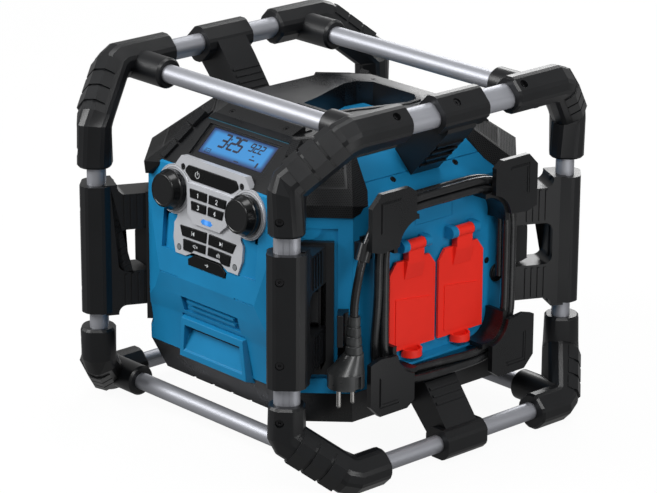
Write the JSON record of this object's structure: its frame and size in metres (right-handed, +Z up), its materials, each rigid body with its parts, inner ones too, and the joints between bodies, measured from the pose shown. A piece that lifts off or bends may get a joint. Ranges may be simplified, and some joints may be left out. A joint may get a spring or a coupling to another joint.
{
  "type": "jobsite radio",
  "caption": "Rugged jobsite radio: eight-sided housing with corner speakers, dial front, side mains outlets and wound cord, inside a tubular roll cage",
  "frame": {"origin": "centre of the footprint, on the floor under the cage", "axes": "+Z up, the controls face -Y, the outlets face +X"},
  "size_m": [0.427, 0.436, 0.3906],
  "materials": {
    "black_plastic": "satin black moulded plastic",
    "blue_plastic": "satin blue moulded plastic",
    "red_plastic": "satin red moulded plastic",
    "tube": "brushed aluminium",
    "screw_steel": "black coated steel screws",
    "pin_steel": "plain ground steel",
    "pin_nickel": "nickel plated",
    "silver_plastic": "silver painted plastic",
    "button_rubber": "soft black caps with pale marks",
    "knob_plastic": "knurled black caps",
    "cord_rubber": "black rubber cord",
    "lens": "pale blue lit display window",
    "lamp": "clear lamp window",
    "grille_steel": "black perforated steel",
    "board": "populated circuit board",
    "speaker": "loudspeaker units"
  },
  "bodies": {
    "housing": {"front_shell": "blue_plastic", "rear_shell": "blue_plastic", "base_tray": "black_plastic", "top_cover": "black_plastic", "recess_floor": "blue_plastic", "display_panel": "black_plastic", "lcd_lens": "lens", "lcd_module": "board", "control_fascia": "silver_plastic", "outlet_panel": "blue_plastic", "left_panel": "blue_plastic", "speaker_cap_fr": "black_plastic", "speaker_cap_fl": "black_plastic", "speaker_cap_br": "black_plastic", "speaker_cap_bl": "black_plastic", "speaker_grilles": "grille_steel", "speakers": "speaker", "subwoofer": "speaker", "circuit_board": "board", "power_supply": "board", "battery_pack": "black_plastic", "battery_door_pin": "pin_steel", "status_light": "lamp", "socket_inserts": "black_plastic", "cover_hinge_pins": "pin_steel", "cord_hooks": "black_plastic", "cord_clip": "black_plastic", "plug_holder": "black_plastic", "cord_gland": "black_plastic", "cord_coil": "cord_rubber", "cord_tail": "cord_rubber", "strain_relief": "cord_rubber", "plug": "cord_rubber", "plug_pins": "pin_nickel", "upper_elbows": "black_plastic", "lower_elbows": "black_plastic", "corner_mounts": "black_plastic", "top_clamps": "black_plastic", "bottom_clamps": "black_plastic", "cage_posts": "tube", "top_rails": "tube", "bottom_rails": "tube", "cross_rails": "tube", "cage_screws": "screw_steel", "body_screws": "screw_steel"},
    "tuning_knob": {"tuning_knob": "knob_plastic"},
    "volume_knob": {"volume_knob": "knob_plastic"},
    "left_socket_cover": {"left_socket_cover": "red_plastic"},
    "right_socket_cover": {"right_socket_cover": "red_plastic"},
    "battery_door": {"battery_door": "blue_plastic"},
    "power_button": {"power_button": "button_rubber"},
    "preset_button_1": {"preset_button_1": "button_rubber"},
    "preset_button_2": {"preset_button_2": "button_rubber"},
    "preset_button_3": {"preset_button_3": "button_rubber"},
    "preset_button_4": {"preset_button_4": "button_rubber"},
    "previous_button": {"previous_button": "button_rubber"},
    "next_button": {"next_button": "button_rubber"},
    "mute_button": {"mute_button": "button_rubber"},
    "equalizer_button": {"equalizer_button": "button_rubber"},
    "source_button": {"source_button": "button_rubber"}
  },
  "joints": [
    {"name": "tuning_knob_turn", "type": "hinge", "parent": "housing", "child": "tuning_knob", "pos_m": [-0.058, -0.16842, 0.26525], "axis": [0, -0.9952, 0.0976], "continuous": true},
    {"name": "volume_knob_turn", "type": "hinge", "parent": "housing", "child": "volume_knob", "pos_m": [0.058, -0.16842, 0.26525], "axis": [0, -0.9952, 0.0976], "continuous": true},
    {"name": "power_button_press", "type": "slide", "parent": "housing", "child": "power_button", "axis": [0, 0.9952, -0.0976], "range_m": [0, 0.001], "stiffness_N_per_m": 300, "springref_m": -0.0005},
    {"name": "preset_button_1_press", "type": "slide", "parent": "housing", "child": "preset_button_1", "axis": [0, 0.9952, -0.0976], "range_m": [0, 0.001], "stiffness_N_per_m": 300, "springref_m": -0.0005},
    {"name": "preset_button_2_press", "type": "slide", "parent": "housing", "child": "preset_button_2", "axis": [0, 0.9952, -0.0976], "range_m": [0, 0.001], "stiffness_N_per_m": 300, "springref_m": -0.0005},
    {"name": "preset_button_3_press", "type": "slide", "parent": "housing", "child": "preset_button_3", "axis": [0, 0.9952, -0.0976], "range_m": [0, 0.001], "stiffness_N_per_m": 300, "springref_m": -0.0005},
    {"name": "preset_button_4_press", "type": "slide", "parent": "housing", "child": "preset_button_4", "axis": [0, 0.9952, -0.0976], "range_m": [0, 0.001], "stiffness_N_per_m": 300, "springref_m": -0.0005},
    {"name": "previous_button_press", "type": "slide", "parent": "housing", "child": "previous_button", "axis": [0, 0.9952, -0.0976], "range_m": [0, 0.001], "stiffness_N_per_m": 300, "springref_m": -0.0005},
    {"name": "next_button_press", "type": "slide", "parent": "housing", "child": "next_button", "axis": [0, 0.9952, -0.0976], "range_m": [0, 0.001], "stiffness_N_per_m": 300, "springref_m": -0.0005},
    {"name": "mute_button_press", "type": "slide", "parent": "housing", "child": "mute_button", "axis": [0, 0.9952, -0.0976], "range_m": [0, 0.001], "stiffness_N_per_m": 300, "springref_m": -0.0005},
    {"name": "equalizer_button_press", "type": "slide", "parent": "housing", "child": "equalizer_button", "axis": [0, 0.9952, -0.0976], "range_m": [0, 0.001], "stiffness_N_per_m": 300, "springref_m": -0.0005},
    {"name": "source_button_press", "type": "slide", "parent": "housing", "child": "source_button", "axis": [0, 0.9952, -0.0976], "range_m": [0, 0.001], "stiffness_N_per_m": 300, "springref_m": -0.0005},
    {"name": "left_socket_cover_hinge", "type": "hinge", "parent": "housing", "child": "left_socket_cover", "pos_m": [0.162, -0.0345, 0.231], "axis": [0, -1, 0], "range_deg": [0, 110]},
    {"name": "right_socket_cover_hinge", "type": "hinge", "parent": "housing", "child": "right_socket_cover", "pos_m": [0.162, 0.0345, 0.231], "axis": [0, -1, 0], "range_deg": [0, 110]},
    {"name": "battery_door_hinge", "type": "hinge", "parent": "housing", "child": "battery_door", "pos_m": [0, 0.17611, 0.1724], "axis": [-1, 0, 0], "range_deg": [0, 95]}
  ]
}
